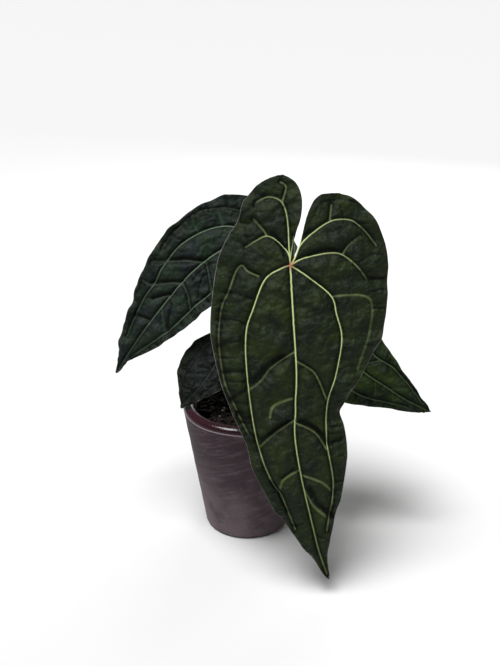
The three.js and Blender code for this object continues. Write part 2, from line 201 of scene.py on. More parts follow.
def make_pot():
    foot_arc = [math.radians(angle) for angle in range(-90, 1, 15)]
    foot_centre = pot_outer_radius(FOOT_ROUND) - FOOT_ROUND
    profile = [(0, 0), (DRAIN_OFFSET, 0)]
    for angle in foot_arc:
        across = foot_centre + FOOT_ROUND * math.cos(angle)
        profile.append((across, FOOT_ROUND * (1 + math.sin(angle))))
    profile += [(pot_outer_radius(height * MM), height * MM) for height in range(8, 120, 4)]
    for step in range(17):
        angle = math.pi * step / 16
        across = RIM_RADIUS - LIP_WALL / 2 * (1 - math.cos(angle))
        profile.append((across, POT_HEIGHT - LIP_RISE * (1 - math.sin(angle))))
    profile += [(pot_inner_radius(height * MM), height * MM) for height in range(118, 13, -6)]
    profile += [(pot_inner_radius(POT_FLOOR) - 5 * MM, POT_FLOOR), (0, POT_FLOOR)]
    pot = turned("pot_body", profile, POT_STEPS)
    # Faint throwing rings and a slightly uneven wall, a few tenths of a millimetre at most.
    for vertex in pot.data.vertices:
        x, y, z = vertex.co
        if math.hypot(x, y) > FOOT_RADIUS * 0.8 and z > 2 * MM:
            ripple = THROWN_RING * math.sin(z / (3.1 * MM))
            ripple += UNEVEN_WALL * noise.noise(vertex.co * 40)
            share = 0.998 + 0.7 * ripple / RIM_RADIUS
            vertex.co = (x * share, y * share, z)
    for side in (-1, 1):
        bpy.ops.mesh.primitive_cylinder_add(
            vertices=48,
            radius=DRAIN_RADIUS,
            depth=3 * POT_FLOOR,
            location=(side * DRAIN_OFFSET, 0, POT_FLOOR / 2),
        )
        drill = bpy.context.object
        cut = pot.modifiers.new("drain", "BOOLEAN")
        cut.operation = "DIFFERENCE"
        cut.object = drill
        bpy.context.view_layer.objects.active = pot
        bpy.ops.object.modifier_apply(modifier="drain")
        bpy.data.objects.remove(drill)
    return pot


pot = make_pot()
dress(pot, pot_material())
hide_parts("pot")


# The potting mix is a coarse open blend of bark flakes, pumice and dark peat. The loose bits lie on
# the imported bed in the pot, sunk in to about half their height, spread evenly between the crown and
# the wall.
BARK_COUNT = 420
PUMICE_COUNT = 42
mix_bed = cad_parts["potting_mix"]
MIX_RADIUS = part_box("potting_mix")[1].x - 3 * MM
CROWN_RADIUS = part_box("crown")[1].x


def peat_material():
    # Peat and fine bark dust: crumbly and without any gloss. Its near-black is partly its own dark
    # brown and partly painted shade from the leaves above.
    material, surface = new_material("peat_with_painted_shade")
    place = add_node(material, "TexCoord").outputs["Object"]
    crumb_size = {"Vector": place, "Scale": 1 / (2.2 * MM), "Detail": 6, "Roughness": 0.75}
    crumbs = add_node(material, "TexNoise", inputs=crumb_size).outputs[0]
    colour = blended(material, banded(material, crumbs, 0.35, 0.7), "#030202", "#0b0806")
    plug(material, colour, surface.inputs["Base Color"])
    bump = {"Height": crumbs, "Distance": 1.2 * MM, "Strength": 0.9}
    plug(material, add_node(material, "Bump", inputs=bump).outputs[0], surface.inputs["Normal"])
    surface.inputs["Roughness"].default_value = 0.95
    surface.inputs["Specular IOR Level"].default_value = 0.1
    return material


def bit_material(name, dark, light, grain):
    # Broken bark shows a fibrous grain and pumice a fine foam. Both are dry and dull.
    material, surface = new_material(name)
    place = add_node(material, "TexCoord").outputs["Object"]
    tone = add_node(material, "Attribute", {"attribute_name": "tone"}).outputs["Fac"]
    grain_size = {"Vector": place, "Scale": 1 / grain, "Detail": 5, "Roughness": 0.7}
    fibres = add_node(material, "TexNoise", inputs=grain_size).outputs[0]
    toned_fibres = {0: fibres, 1: 0.6, 2: tone}
    mixed = add_node(material, "Math", {"operation": "MULTIPLY_ADD"}, toned_fibres).outputs[0]
    colour = blended(material, banded(material, mixed, 0.15, 1.2), dark, light)
    plug(material, colour, surface.inputs["Base Color"])
    bump = {"Height": fibres, "Distance": 0.5 * MM, "Strength": 0.7}
    plug(material, add_node(material, "Bump", inputs=bump).outputs[0], surface.inputs["Normal"])
    surface.inputs["Roughness"].default_value = 0.88
    surface.inputs["Specular IOR Level"].default_value = 0.15
    return material


def model_bit(flatness, roughness):
    """One loose bit of unit size, a ball beaten into a lump, as its vertices and triangles."""
    bpy.ops.mesh.primitive_ico_sphere_add(subdivisions=2, radius=1)
    ball = bpy.context.object
    vertices = np.array([vertex.co for vertex in ball.data.vertices])
    faces = np.array([polygon.vertices for polygon in ball.data.polygons])
    for vertex in vertices:
        vertex *= 1 + roughness * noise.noise(Vector(vertex) * 1.3 + Vector((flatness * 9, 0, 0)))
    corner = np.sign(vertices) * np.abs(vertices) ** 0.75
    bpy.data.objects.remove(ball)
    return corner * (1, 0.62, flatness), faces


def scatter(name, count, shapes, sizes, seed):
    """Copies of the given bits over the bed, each turned, sized and toned by a seeded draw."""
    draw = random.Random(seed)
    bed = BVHTree.FromObject(mix_bed, bpy.context.evaluated_depsgraph_get())
    vertices, faces, tones = [], [], []
    for _ in range(count):
        shape, triangles = draw.choice(shapes)
        reach = math.sqrt(draw.uniform((CROWN_RADIUS + 2 * MM) ** 2, (MIX_RADIUS - 1.5 * MM) ** 2))
        heading = draw.uniform(0, 2 * math.pi)
        above = Vector((reach * math.cos(heading), reach * math.sin(heading), POT_HEIGHT))
        ground = bed.ray_cast(above, Vector((0, 0, -1)))[0]
        if ground is None:
            continue
        size = draw.uniform(*sizes) * MM
        tilt = Vector((draw.gauss(0, 0.35), draw.gauss(0, 0.35), 1)).to_track_quat("Z", "Y")
        spin = Vector((math.cos(heading * 7), math.sin(heading * 7), 0)).to_track_quat("X", "Z")
        turn = np.array(tilt.to_matrix()) @ np.array(spin.to_matrix())
        placed = (shape * size) @ turn.T + np.array(ground + Vector((0, 0, 0.25 * size)))
        faces.extend((triangles + len(vertices)).tolist())
        vertices.extend(placed.tolist())
        tones.extend([draw.random()] * len(placed))
    mesh = bpy.data.meshes.new(name)
    mesh.from_pydata(vertices, [], faces)
    mesh.attributes.new("tone", "FLOAT", "POINT").data.foreach_set("value", tones)
    piece = bpy.data.objects.new(name, mesh)
    bpy.context.collection.objects.link(piece)
    return piece


mix_bed.data.materials.clear()
mix_bed.data.materials.append(peat_material())
bark_shapes = [model_bit(flatness, 0.9) for flatness in (0.22, 0.32, 0.45)]
bark = scatter("bark_flakes", BARK_COUNT, bark_shapes, (2.0, 5.2), 11)
# The bark's near-black tones are partly painted shade from the leaves above, darker than the bark's
# own brown.
dress(bark, bit_material("pine_bark", "#030202", "#150d09", 0.9 * MM))
pumice_shapes = [model_bit(flatness, 0.5) for flatness in (0.7, 0.85)]
pumice = scatter("pumice_grit", PUMICE_COUNT, pumice_shapes, (1.1, 2.3), 5)
dress(pumice, bit_material("pumice", "#6d665e", "#b5afa5", 0.5 * MM))


# The crown is the short woody stem that the leaves grow from. It is ringed by the scars of old
# leaves.
crown_low, crown_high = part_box("crown")


def crown_material():
    # Corky young stem: green under a dull brown skin that splits in fine rings.
    material, surface = new_material("corky_stem")
    place = add_node(material, "TexCoord").outputs["Object"]
    round_stem = {"Vector": place, "Scale": (0.4, 0.4, 2.4)}
    ringed = add_node(material, "Mapping", inputs=round_stem).outputs[0]
    ring_size = {"Vector": ringed, "Scale": 1 / (3 * MM), "Detail": 6, "Roughness": 0.7}
    rings = add_node(material, "TexNoise", inputs=ring_size).outputs[0]
    colour = blended(material, banded(material, rings, 0.4, 0.65), "#4a4a27", "#3a2716")
    plug(material, colour, surface.inputs["Base Color"])
    bump = {"Height": rings, "Distance": 0.6 * MM, "Strength": 0.8}
    plug(material, add_node(material, "Bump", inputs=bump).outputs[0], surface.inputs["Normal"])
    surface.inputs["Roughness"].default_value = 0.75
    return material


def make_crown():
    profile = [(0, crown_low.z)]
    steps = 52
    for step in range(steps + 1):
        height = crown_low.z + (crown_high.z - 4 * MM - crown_low.z) * step / steps
        scar = 0.7 * MM * max(0, math.sin(height / MM * 2 * math.pi / 5.5)) ** 3
        profile.append((CROWN_RADIUS - scar, height))
    for angle in range(15, 91, 15):
        turn = math.radians(angle)
        height = crown_high.z - 4 * MM * (1 - math.sin(turn))
        profile.append((CROWN_RADIUS * math.cos(turn), height))
    return turned("crown_stem", profile, 48)


crown = make_crown()
dress(crown, crown_material())
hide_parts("crown")


# Each petiole is a round green leaf stalk with fine lengthwise ridges. It swells at the foot, where
# it sheathes the crown, and again at the bend under the blade, which can turn the leaf to the light.
def smooth_line(points, step):
    """Points a step apart on a smooth curve through the given, unevenly spaced ones."""
    given = [np.array(point, float) for point in points]
    given = [2 * given[0] - given[1]] + given + [2 * given[-1] - given[-2]]
    dense = []
    for before, start, end, after in zip(given, given[1:], given[2:], given[3:]):
        pairs = ((before, start), (start, end), (end, after))
        gaps = [np.linalg.norm(b - a) ** 0.5 for a, b in pairs]
        straight = (end - start) / gaps[1]
        pull = (start - before) / gaps[0] - (end - before) / (gaps[0] + gaps[1]) + straight
        push = straight - (after - start) / (gaps[1] + gaps[2]) + (after - end) / gaps[2]
        for t in np.linspace(0, 1, 40, endpoint=False):
            places = (2 * t**3 - 3 * t**2 + 1) * start + (3 * t**2 - 2 * t**3) * end
            slopes = (t**3 - 2 * t**2 + t) * pull + (t**3 - t**2) * push
            dense.append(places + slopes * gaps[1])
    dense = np.array(dense + [given[-2]])
    way = np.concatenate([[0], np.cumsum(np.linalg.norm(np.diff(dense, axis=0), axis=1))])
    places = np.linspace(0, way[-1], max(int(way[-1] / step), 2) + 1)
    return np.stack([np.interp(places, way, dense[:, axis]) for axis in range(3)], axis=1)


def round_strands(name, strands, resolution):
    """One mesh of closed round strands, each its points in millimetres and a radius at each."""
    curve = bpy.data.curves.new(name, "CURVE")
    curve.dimensions = "3D"
    curve.bevel_depth = MM
    curve.bevel_resolution = resolution
    curve.use_fill_caps = True
    for points, radii in strands:
        line = curve.splines.new("POLY")
        line.points.add(len(points) - 1)
        for knot, place, radius in zip(line.points, points, radii):
            knot.co = (*(np.array(place) * MM), 1)
            knot.radius = radius
    piece = bpy.data.objects.new(name, curve)
    bpy.context.collection.objects.link(piece)
    bpy.ops.object.select_all(action="DESELECT")
    piece.select_set(True)
    bpy.context.view_layer.objects.active = piece
    bpy.ops.object.convert(target="MESH")
    piece = bpy.context.object
    piece.data.shade_smooth()
    return piece


def stalk_material():
    # Living leaf stalk: smooth waxy green skin, paler in its ridges and flushed red near the blade.
    material, surface = new_material("waxy_leaf_stalk")
    place = add_node(material, "TexCoord").outputs["Object"]
    along_stalk = {"Vector": place, "Scale": (1, 1, 0.06)}
    ridged = add_node(material, "Mapping", inputs=along_stalk).outputs[0]
    ridge_size = {"Vector": ridged, "Scale": 1 / (0.9 * MM), "Detail": 3}
    ridges = add_node(material, "TexNoise", inputs=ridge_size).outputs[0]
    fleck_size = {"Vector": place, "Scale": 1 / (1.6 * MM), "Detail": 2}
    flecks = add_node(material, "TexNoise", inputs=fleck_size).outputs[0]
    green = blended(material, banded(material, ridges, 0.4, 0.65), "#2f4322", "#5c7339")
    green = blended(material, banded(material, flecks, 0.62, 0.72), green, "#8a9a63")
    blush = add_node(material, "Attribute", {"attribute_name": "blush"}).outputs["Fac"]
    plug(material, blended(material, blush, green, "#7a4a3a"), surface.inputs["Base Color"])
    bump = {"Height": ridges, "Distance": 0.15 * MM, "Strength": 0.6}
    plug(material, add_node(material, "Bump", inputs=bump).outputs[0], surface.inputs["Normal"])
    surface.inputs["Roughness"].default_value = 0.42
    return material


def add_blush(piece, centre, reach):
    """Marks how close each vertex is to the place where stalk and blade join."""
    joint = Vector(centre) * MM
    blush = [math.exp(-((vertex.co - joint).length / reach) ** 2) for vertex in piece.data.vertices]
    piece.data.attributes.new("blush", "FLOAT", "POINT").data.foreach_set("value", blush)


# A stalk is the points that it passes, in millimetres, and its radius. It enters the blade square
# to the underside, through the blade's thickness and its raised ribs.
BLADE_THICKNESS = 1.0
RIB_HEIGHT = 1.4
PETIOLES = {
    "front": ([(3, -4, 121), (10, -9, 170), (21, -14, 225), (31, -19, 270), (36, -27, 289)], 2.9),
    "left": ([(0, 6, 121), (-2, 22, 165), (-1, 37, 208), (3, 52, 242)], 2.6),
    "right": ([(5, 5, 121), (18, 20, 145), (34, 38, 160)], 2.2),
    "small": ([(-5, -1, 121), (-11, 6, 144), (-17, 15, 160)], 1.6),
}
PETIOLE_SWELL = (1.7, 1.25, 1.05, 1, 0.95, 0.95, 1, 1.3, 1.2)
CROWN_HEART = (0, 0, 112)


def make_petiole(name, centre, facing):
    """The stalk from the crown's heart to the underside of a blade at its centre, square to it."""
    way, radius = PETIOLES[name]
    under = BLADE_THICKNESS + RIB_HEIGHT + 0.3
    bend = centre - facing * (under + 3 * radius)
    points = smooth_line([CROWN_HEART, *way, bend, centre - facing * under], 1.2)
    places = np.linspace(0, 1, len(points))
    radii = radius * np.interp(places, np.linspace(0, 1, len(PETIOLE_SWELL)), PETIOLE_SWELL)
    petiole = round_strands("stalk_" + name, [(points, radii)], 7)
    add_blush(petiole, centre, 14 * MM)
    return petiole


# Each blade is one living leaf: a long heart, velvety on its face from tiny domed cells. Its skin
# is quilted between sunken veins, finely puckered along the margin, and stiffened by ribs beneath.
#
# Flat leaf points are (u, x) in millimetres: u runs down the midrib from the petiole and is negative
# in the lobes, x runs across. A vein is its width at the start and its points.
FRONT_VEINS = [
    (2.5, [(0, 0), (79, 3), (118, 0), (148, -3), (214, -1), (245, -1), (269, 0)]),
    (1.6, [(0, 0), (-10, -1), (-37, -3), (-51, -7), (-56, -13), (-57, -21), (-52, -30)]),
    (0.8, [(-53, -8), (-66, -5), (-70, -10)]),
    (1.5, [(0, 0), (-8, 0.5), (-16, 1.5), (-24, 2.5)]),
    (1.5, [(0, 0), (-7, 3.5), (-19, 7.5), (-26, 9)]),
    (1.6, [(0, 0), (-10, -2), (-20, -11), (-24, -20), (-20, -29), (-15, -37)]),
    (0.9, [(-24, -20), (-28, -22), (-38, -31)]),
    (1.6, [(0, 0), (3, -8), (12, -21), (36, -31), (54, -37), (85, -38), (141, -35), (176, -28),
           (193, -21), (222, -16)]),
    (0.8, [(9, -26), (5, -35), (0, -40), (5, -45), (21, -51), (34, -57), (57, -60), (80, -59),
           (100, -55), (137, -41)]),
    (1.8, [(0, 0), (-17, 8), (-30, 21), (-39, 35), (-40, 50), (-31, 63), (-20, 72)]),
    (0.8, [(-39, 32), (-52, 33)]),
    (1.8, [(0, 0), (-6, 11), (-11, 32), (-10, 43), (-1, 55), (10, 64)]),
    (0.8, [(-10, 43), (-18, 48), (-27, 58)]),
    (1.7, [(0, 0), (12, 18), (26, 34), (41, 38), (62, 42), (92, 36), (117, 27), (149, 23), (190, 23),
           (229, 10)]),
    (0.7, [(26, 34), (25, 45), (25, 60), (32, 68), (56, 66), (90, 54)]),
    (0.9, [(71, 3), (83, -17), (94, -27), (100, -36)]),
    (0.8, [(79, 3), (88, 16), (97, 21), (113, 26)]),
    (0.5, [(110, -2), (111, -7), (115, -18), (124, -22)]),
    (0.8, [(128, -1), (139, -21), (148, -33)]),
    (1.0, [(131, -1), (141, 14), (157, 22)]),
    (0.7, [(171, -2), (177, -17), (188, -23)]),
    (0.7, [(176, -1), (185, 14), (195, 21)]),
    (0.7, [(186, -2), (198, 1), (207, 5), (220, 15)]),
]
LEFT_VEINS = [
    (2.0, [(0, 0), (47, 1), (100, 4), (140, 3), (176, 0)]),
    (1.3, [(0, 0), (-7, -1), (-25, -4), (-34, -8), (-37, -15), (-30, -24)]),
    (1.3, [(0, 0), (-7, -3), (-13, -10), (-12, -20), (-6, -30)]),
    (1.6, [(0, 0), (2, -8), (9, -16), (25, -22), (51, -25), (75, -21), (92, -16), (111, -14),
           (145, -8)]),
    (0.8, [(-12, -20), (-2, -28), (13, -37), (29, -41), (51, -38), (66, -34)]),
    (1.4, [(0, 0), (-11, 5), (-22, 12), (-28, 22), (-22, 32)]),
    (1.3, [(0, 0), (-4, 7), (-7, 19), (-4, 28), (7, 35)]),
    (1.5, [(0, 0), (8, 11), (17, 20), (35, 26), (58, 28), (82, 27), (109, 25), (132, 18), (160, 6)]),
    (0.7, [(15, -19), (14, -28), (13, -37)]),
    (0.7, [(36, -24), (35, -33), (33, -40)]),
    (0.7, [(22, 1), (28, 12), (34, 26)]),
    (0.9, [(47, 1), (58, -10), (69, -20), (80, -31)]),
    (0.8, [(44, 1), (50, 14), (58, 28)]),
    (0.9, [(75, 3), (81, -4), (94, -16), (97, -26)]),
    (0.9, [(74, 3), (78, 15), (87, 27)]),
    (0.7, [(90, 4), (95, -1), (103, -6), (108, -14)]),
    (0.7, [(103, 4), (109, 10), (121, 22)]),
    (0.6, [(121, 3), (123, -3), (126, -11)]),
]
RIGHT_VEINS = [
    (1.6, [(0, 0), (35, -8), (70, -12), (93, -11), (113, -9), (125, -6), (138, -2)]),
    (1.0, [(0, 0), (-8, -3), (-20, -7), (-28, -13), (-25, -23)]),
    (1.0, [(0, 0), (-5, -7), (-8, -16), (-4, -28), (6, -38)]),
    (1.2, [(0, 0), (4, -10), (14, -22), (32, -30), (50, -33), (79, -32), (100, -24), (122, -13)]),
    (1.0, [(0, 0), (-9, 5), (-19, 11), (-27, 18), (-20, 25)]),
    (1.0, [(0, 0), (-3, 7), (-6, 17), (6, 29)]),
    (1.3, [(0, 0), (6, 9), (18, 18), (35, 18), (52, 12), (71, 7), (90, 8), (118, 3), (132, 0)]),
    (0.7, [(28, -7), (38, 6), (50, 12)]),
    (0.7, [(26, -6), (33, -18), (42, -32)]),
    (0.8, [(52, -10), (60, -20), (68, -33)]),
    (0.8, [(60, -11), (68, -2), (76, 7)]),
    (0.7, [(82, -12), (88, -20), (93, -28)]),
    (0.7, [(102, -10), (107, -16), (111, -18)]),
    (0.6, [(98, -11), (108, -3), (114, 3)]),
]
SMALL_VEINS = [
    (1.2, [(0, 0), (20, 5), (44, 7), (60, 4), (74, 0)]),
    (0.8, [(0, 0), (-5, -3), (-12, -8), (-8, -14)]),
    (0.9, [(0, 0), (4, -7), (14, -13), (30, -14), (52, -13), (66, -7)]),
    (0.8, [(0, 0), (-5, 4), (-11, 10), (-5, 17)]),
    (0.9, [(0, 0), (5, 8), (16, 15), (30, 18), (44, 17), (60, 11)]),
    (0.6, [(18, 5), (24, -4), (30, -14)]),
    (0.6, [(38, 7), (43, -3), (48, -13)]),
    (0.5, [(24, 6), (29, 12), (32, 18)]),
    (0.5, [(44, 7), (49, 11), (52, 15)]),
]

# Creases in the skin, without a pale vein: (depth, half width, points). The sharp ones cross the
# outer panels, and the broad ones are where a panel rolls under just above a side vein.
FRONT_CREASES = [
    (1.1, 1.4, [(22, -50), (25, -37), (28, -30)]),
    (0.8, 1.2, [(43, -58), (45, -43), (48, -38)]),
    (1.2, 1.4, [(64, -60), (62, -51), (60, -40)]),
    (0.8, 1.2, [(61, -56), (57, -41)]),
    (1.2, 1.4, [(86, -58), (86, -52), (85, -41)]),
    (1.3, 1.6, [(108, -54), (103, -45), (99, -38)]),
    (1.2, 1.4, [(119, -49), (122, -44), (123, -38)]),
    (0.7, 1.2, [(-53, -30), (-46, -32), (-43, -40), (-36, -42)]),
    (0.8, 1.2, [(-19, -34), (-23, -37), (-32, -39)]),
    (0.7, 1.2, [(-40, 18), (-52, 24), (-56, 34), (-57, 47), (-54, 56)]),
    (0.7, 1.2, [(-40, 44), (-52, 40)]),
    (1.2, 1.5, [(10, 66), (9, 79)]),
    (1.2, 1.5, [(21, 68), (19, 79)]),
    (1.2, 1.5, [(36, 69), (36, 79)]),
    (0.8, 1.4, [(-4, 58), (-11, 68), (-12, 77)]),
    (1.3, 1.5, [(138, 28), (138, 37)]),
    (1.3, 1.5, [(152, 27), (149, 36)]),
    (0.9, 1.2, [(231, 1), (235, 6)]),
    (1.0, 1.2, [(220, -17), (217, -8)]),
    (1.4, 1.3, [(178, -28), (189, -23), (195, -22), (206, -19)]),
    (2.0, 3.2, [(75, -8), (81, -19), (89, -28), (96, -35)]),
    (2.4, 2.6, [(130, 4), (136, 13), (144, 19), (153, 23)]),
    (2.4, 3.0, [(189, 3), (203, 7), (213, 14), (219, 17)]),
    (1.6, 2.2, [(129, -7), (136, -20), (142, -30)]),
    (1.5, 1.7, [(170, -8), (176, -18)]),
    (1.5, 2.0, [(-8, 4), (-19, 5), (-29, 16)]),
    (1.4, 1.8, [(-9, 15), (-14, 28), (-13, 42)]),
    (1.4, 1.8, [(-8, -5), (-17, -7), (-27, -16)]),
]
LEFT_CREASES = [
    (2.2, 2.4, [(121, 1), (122, -4), (125, -11)]),
    (2.0, 2.2, [(89, 2), (94, -2), (103, -8)]),
    (1.2, 1.6, [(72, 2), (79, -5), (93, -18)]),
    (1.2, 1.6, [(45, 0), (57, -12), (68, -21)]),
    (1.0, 1.2, [(53, -39), (53, -33), (49, -26)]),
    (1.2, 1.3, [(35, 11), (42, 6), (55, 6), (66, 8)]),
    (1.2, 1.3, [(53, 11), (65, 17), (72, 23)]),
    (1.5, 2.5, [(96, 10), (108, 16), (116, 20)]),
]

# A leaf is laid out from its spine, which is the midrib as a curve in space, and from the way
# across it. The flat shape is the midrib and, for each half, its notch edge and its margin.
# lobe: length of spine above the petiole. arch: bow across the blade. fold: place, depth and half
# width of the kink in the margin. wave: height and length of the margin's waves. quilt: height of the
# panels and reach of the valley beside a vein. cell: spacing of the skin's grid. skin: the cool and
# the warm green and the strength of the veinlets. ribs: the veins' two pale tones and the dim one.
LEAVES = {
    "front": {
        "spine": [(38, -4, 356), (37.5, -44, 302), (24, -107, 158), (70, -119, 15)],
        "across": (1, 0, 0), "lobe": 93, "arch": 0.0022, "fold": (127, 7, 12), "wave": (2.4, 37),
        "quilt": (2.2, 6), "veins": FRONT_VEINS, "creases": FRONT_CREASES, "cell": 1.2,
        "skin": ("#131a11", "#222b0f", 0.05), "ribs": ("#9aaa6c", "#c2d194", "#1c2415"),
        "midrib": [(0, 0), (79, 3), (118, 0), (148, -3), (214, -1), (245, -1), (274, 0)],
        "halves": [
            ([(-76, -8), (-69, 3), (-57, 8), (-42, 8), (-23, 3), (-8, 0), (0, 0)],
             [(-76, -8), (-70, -25), (-55, -39), (-38, -44), (-24, -52), (-5, -60), (19, -64),
              (51, -67), (81, -63), (110, -56), (142, -45), (168, -41), (198, -31), (227, -18),
              (252, -8), (274, 0)]),
            ([(-62, 34), (-59, 23), (-50, 16), (-33, 11), (-19, 8), (-7, 4), (0, 0)],
             [(-62, 34), (-60, 50), (-46, 68), (-19, 81), (22, 82), (57, 78), (75, 69), (91, 60),
              (107, 49), (118, 42), (127, 37), (139, 39), (160, 39), (190, 32), (226, 16), (250, 6),
              (274, 0)]),
        ],
    },
    "left": {
        "spine": [(60, 66, 262), (4, 42, 296), (-76, 20, 250), (-122, 10, 150)],
        "across": (0.55, -0.45, -0.7), "lobe": 66, "arch": -0.0012, "fold": (60, 0, 10),
        "wave": (2, 26),
        "quilt": (1.8, 4.5), "veins": LEFT_VEINS, "creases": LEFT_CREASES, "cell": 1.0,
        # The left leaf's blue-grey skin is partly painted sheen, the cool cast of the light on its
        # upturned face.
        "skin": ("#141c20", "#1b2a1b", 0.03), "ribs": ("#465a45", "#71866c", "#151d1a"),
        "midrib": [(0, 0), (47, 1), (100, 4), (140, 3), (181, 0)],
        "halves": [
            ([(-48, -20), (-44, -10), (-28, -5), (-10, -2), (0, 0)],
             [(-48, -20), (-40, -31), (-20, -38), (8, -46), (39, -45), (60, -42), (95, -31),
              (120, -21), (141, -16), (159, -10), (181, 0)]),
            ([(-48, 14), (-42, 5), (-28, 3), (-10, 2.4), (0, 0)],
             [(-48, 14), (-40, 28), (-18, 37), (8, 41), (40, 40), (75, 37), (100, 35), (118, 30),
              (135, 24), (151, 15), (165, 5), (181, 0)]),
        ],
    },
    "right": {
        "spine": [(14, 66, 190), (60, 34, 190), (120, 16, 165), (172, 0, 115)],
        "across": (0.5, 0.5, 0.7), "lobe": 50, "arch": 0, "fold": (60, 0, 10), "wave": (1.6, 26),
        "quilt": (1.5, 4), "veins": RIGHT_VEINS, "creases": [], "cell": 0.9,
        "skin": ("#121b10", "#2a3c14", 0.05), "ribs": ("#4a5f3c", "#728a5c", "#182212"),
        "midrib": [(0, 0), (35, -8), (70, -12), (100, -10), (126, -6), (143, 0)],
        "halves": [
            ([(-38, -14), (-32, -6), (-20, -4), (-8, -2.4), (0, 0)],
             [(-38, -14), (-28, -30), (-4, -43), (25, -50), (50, -50), (71, -46), (90, -37),
              (110, -25), (127, -15), (137, -6), (143, 0)]),
            ([(-38, 16), (-34, 7), (-20, 4), (-8, 1.5), (0, 0)],
             [(-38, 16), (-30, 27), (-8, 34), (20, 35), (45, 32), (74, 21), (94, 13), (115, 7),
              (135, 2), (143, 0)]),
        ],
    },
    "small": {
        "spine": [(2, 26, 188), (-18, 14, 186), (-44, -4, 160), (-61, -20, 128)],
        "across": (0.6, -0.6, -0.5), "lobe": 24, "arch": 0, "fold": (60, 0, 10), "wave": (1, 18),
        "quilt": (1, 3), "veins": SMALL_VEINS, "creases": [], "cell": 0.7,
        # The small leaf's near-black skin and dim veins are painted shade: it lies in the shade of
        # the leaves above it.
        "skin": ("#030405", "#0a0e10", 0.02), "ribs": ("#1d2627", "#3c484b", "#080b0c"),
        "midrib": [(0, 0), (20, 5), (40, 6), (60, 4), (76, 0)],
        "halves": [
            ([(-20, -9), (-17, -4), (-10, -2.6), (-4, -1.4), (0, 0)],
             [(-20, -9), (-12, -16), (4, -19), (21, -25), (35, -25), (49, -21), (63, -10), (76, 0)]),
            ([(-20, 9), (-17, 4), (-10, 2.6), (-4, 1.4), (0, 0)],
             [(-20, 9), (-12, 19), (6, 27), (25, 29), (41, 26), (55, 18), (68, 8), (76, 0)]),
        ],
    },
}


def even_line(points, count):
    """count + 1 flat points at equal steps along a smooth line through the given ones."""
    given = np.array(points, float)
    given = np.vstack([given[:1], given, given[-1:]])
    t = np.linspace(0, 1, 30, endpoint=False)[:, None]
    parts = []
    for a, b, c, d in zip(given, given[1:], given[2:], given[3:]):
        bend, twist = 2 * a - 5 * b + 4 * c - d, 3 * b - a - 3 * c + d
        parts.append(0.5 * (2 * b + (c - a) * t + bend * t**2 + twist * t**3))
    line = np.vstack(parts + [given[-1:]])
    way = np.concatenate([[0], np.cumsum(np.linalg.norm(np.diff(line, axis=0), axis=1))])
    places = np.linspace(0, way[-1], count + 1)
    return np.stack([np.interp(places, way, line[:, axis]) for axis in range(2)], axis=1), way[-1]


def smooth_vein(points):
    """A vein's or crease's line, with a point about every 2 mm."""
    length = np.linalg.norm(np.diff(np.array(points, float), axis=0), axis=1).sum()
    return even_line(points, max(3, int(length / 2)))[0]


def distance_to(lines, flat):
    """The distance from each flat point to the nearest of the lines."""
    nearest = np.full(len(flat), 1e9)
    for line in lines:
        for start, end in zip(line[:-1], line[1:]):
            step = end - start
            way = np.clip((flat - start) @ step / (step @ step), 0, 1)
            nearest = np.minimum(nearest, np.linalg.norm(flat - start - way[:, None] * step, axis=1))
    return nearest


def frame_along(leaf, u):
    """The midrib's points, the ways across and the ways the blade faces, at distances u down it."""
    t = np.linspace(0, 1, 400)[:, None]
    a, b, c, d = np.array(leaf["spine"], float)
    curve = (1-t)**3 * a + 3*(1-t)**2 * t * b + 3*(1-t) * t**2 * c + t**3 * d
    along = (1-t)**2 * (b - a) + 2*(1-t) * t * (c - b) + t**2 * (d - c)
    along /= np.linalg.norm(along, axis=1)[:, None]
    steps = np.linalg.norm(np.diff(curve, axis=0), axis=1)
    way = np.concatenate([[0], np.cumsum(steps)]) - leaf["lobe"]
    across = np.array(leaf["across"], float)
    across = across - (along @ across)[:, None] * along
    across /= np.linalg.norm(across, axis=1)[:, None]
    facing = np.cross(along, across)
    parts = (curve, across, facing)
    return [np.stack([np.interp(u, way, part[:, i]) for i in range(3)], axis=1) for part in parts]


def noise_over(flat, size, seed):
    return np.array([noise.noise(Vector((u / size, x / size, seed))) for u, x in flat])


def margin_grooves(leaf, flat, edge, margin_way, seed):
    """Short uneven grooves that cross the outer zone of the blade towards its margin."""
    draw = random.Random(seed)
    depth = np.zeros(len(flat))
    reach = leaf["wave"][1]
    for side in (-1, 1):
        place = draw.uniform(2, 8)
        while place < margin_way.max():
            inner, outer = draw.uniform(0.62, 0.8), draw.uniform(0.93, 0.99)
            width, deep = draw.uniform(0.9, 1.6), draw.uniform(0.2, 0.75)
            lean = draw.uniform(-8, 8)
            across = (margin_way - place - lean * (edge - 0.85)) / width
            zone = np.clip((edge - inner) / 0.08, 0, 1) * np.clip((outer - edge) / 0.05, 0, 1)
            same_side = flat[:, 1] * side >= 0
            depth += deep * np.exp(-(across**2)) * zone * same_side
            place += draw.uniform(0.12, 0.32) * reach
    return np.minimum(depth, 1.0)


